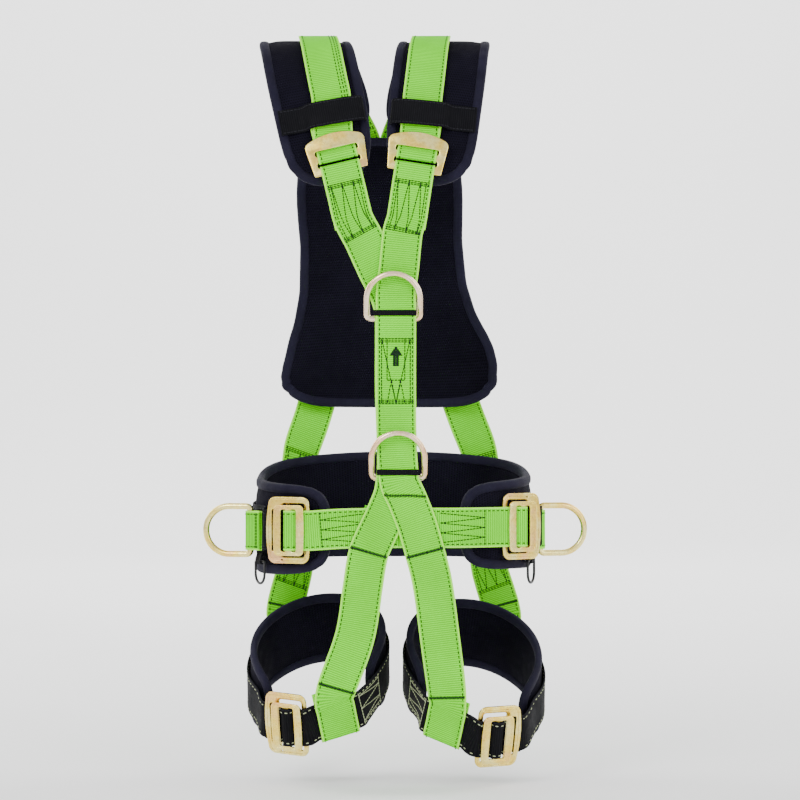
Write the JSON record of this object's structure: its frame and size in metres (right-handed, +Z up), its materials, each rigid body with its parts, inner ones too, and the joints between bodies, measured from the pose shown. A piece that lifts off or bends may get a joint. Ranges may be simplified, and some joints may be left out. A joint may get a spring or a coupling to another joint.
{
  "type": "tree climbing saddle",
  "caption": "Full-body tree climbing saddle of webbing and foam pads, with chest, waist, back and hip attachment rings, a padded work positioning belt and padded leg loops.",
  "frame": {"origin": "on the wearer's axis at the height of the front waist strap", "axes": "+Z up the wearer's body, +X to the wearer's left, the wearer faces -Y"},
  "size_m": [0.4431, 0.2906, 0.8407],
  "materials": {
    "green_webbing": "woven polyester webbing, bright green, matt",
    "black_webbing": "woven polyester webbing, black, matt",
    "pad_fabric": "spacer mesh over foam, blue-black, matt, bound edges",
    "plated_steel": "yellow zinc plated steel, faint iridescence",
    "black_steel": "black coated wire, satin",
    "black_plastic": "black moulded nylon, satin"
  },
  "bodies": {
    "harness": {"shoulder_webbing_right": "green_webbing", "shoulder_webbing_left": "green_webbing", "main_webbing_right": "green_webbing", "main_webbing_left": "green_webbing", "rear_leg_strap_right": "green_webbing", "rear_leg_strap_left": "green_webbing", "waist_backing_right": "green_webbing", "waist_backing_left": "green_webbing", "side_ring_loop_right": "green_webbing", "side_ring_loop_left": "green_webbing", "front_waist_strap": "green_webbing", "rear_waist_webbing": "black_webbing", "sternal_keeper": "black_webbing", "ventral_keeper": "black_webbing", "leg_webbing_right": "black_webbing", "leg_webbing_left": "black_webbing", "gear_loop_right": "black_webbing", "gear_loop_left": "black_webbing", "shoulder_band_right": "black_webbing", "shoulder_band_left": "black_webbing", "back_pad": "pad_fabric", "waist_pad": "pad_fabric", "shoulder_pad_right": "pad_fabric", "shoulder_pad_left": "pad_fabric", "leg_pad_right": "pad_fabric", "leg_pad_left": "pad_fabric", "shoulder_adjuster_right": "plated_steel", "shoulder_adjuster_left": "plated_steel", "waist_right_outer_frame": "plated_steel", "waist_left_outer_frame": "plated_steel", "leg_right_outer_frame": "plated_steel", "leg_left_outer_frame": "plated_steel", "dorsal_plate": "black_plastic"},
    "sternal_ring_body": {"sternal_ring": "plated_steel"},
    "ventral_ring_body": {"ventral_ring": "plated_steel"},
    "dorsal_ring_body": {"dorsal_ring": "plated_steel"},
    "side_ring_right_body": {"side_ring_right": "plated_steel"},
    "gear_ring_right_body": {"gear_ring_right": "black_steel"},
    "waist_right_inner_body": {"waist_right_inner_frame": "plated_steel"},
    "leg_right_inner_body": {"leg_right_inner_frame": "plated_steel"},
    "side_ring_left_body": {"side_ring_left": "plated_steel"},
    "gear_ring_left_body": {"gear_ring_left": "black_steel"},
    "waist_left_inner_body": {"waist_left_inner_frame": "plated_steel"},
    "leg_left_inner_body": {"leg_left_inner_frame": "plated_steel"}
  },
  "joints": [
    {"name": "sternal_ring_hinge", "type": "hinge", "parent": "harness", "child": "sternal_ring_body", "pos_m": [-0.003, -0.1225, 0.234], "axis": [1, 0, 0], "range_deg": [0, 145]},
    {"name": "ventral_ring_hinge", "type": "hinge", "parent": "harness", "child": "ventral_ring_body", "pos_m": [0.0024, -0.1225, 0.056], "axis": [1, 0, 0], "range_deg": [0, 100]},
    {"name": "dorsal_ring_hinge", "type": "hinge", "parent": "harness", "child": "dorsal_ring_body", "pos_m": [-0.0195, 0.1264, 0.398], "axis": [1, 0, 0], "range_deg": [0, 140]},
    {"name": "side_ring_right_hinge", "type": "hinge", "parent": "harness", "child": "side_ring_right_body", "pos_m": [-0.16628, -0.05195, -0.006], "axis": [0, 0, 1], "range_deg": [-60, 60]},
    {"name": "side_ring_left_hinge", "type": "hinge", "parent": "harness", "child": "side_ring_left_body", "pos_m": [0.1657, -0.02772, -0.006], "axis": [0, 0, 1], "range_deg": [-60, 60]},
    {"name": "gear_ring_right_hinge", "type": "hinge", "parent": "harness", "child": "gear_ring_right_body", "pos_m": [-0.15504, -0.06419, -0.041], "axis": [-0.4703, 0.8825, 0], "range_deg": [0, 90]},
    {"name": "gear_ring_left_hinge", "type": "hinge", "parent": "harness", "child": "gear_ring_left_body", "pos_m": [0.15436, -0.05228, -0.041], "axis": [-0.3445, -0.9388, 0], "range_deg": [0, 90]},
    {"name": "waist_right_inner_lift", "type": "hinge", "parent": "harness", "child": "waist_right_inner_body", "pos_m": [-0.1039, -0.12132, -0.0035], "axis": [0, 0, 1], "range_deg": [0, 55], "deforming": ["front_waist_strap"]},
    {"name": "waist_left_inner_lift", "type": "hinge", "parent": "harness", "child": "waist_left_inner_body", "pos_m": [0.12808, -0.10256, 0], "axis": [0, 0, -1], "range_deg": [0, 55], "deforming": ["front_waist_strap"]},
    {"name": "leg_right_inner_lift", "type": "hinge", "parent": "harness", "child": "leg_right_inner_body", "pos_m": [-0.10669, -0.1071, -0.22688], "axis": [-0.0469, -0.2897, 0.956], "range_deg": [0, 55], "deforming": ["leg_webbing_right"]},
    {"name": "leg_left_inner_lift", "type": "hinge", "parent": "harness", "child": "leg_left_inner_body", "pos_m": [0.09713, -0.10605, -0.2404], "axis": [-0.0714, 0.3204, -0.9446], "range_deg": [0, 55], "deforming": ["leg_webbing_left"]}
  ]
}
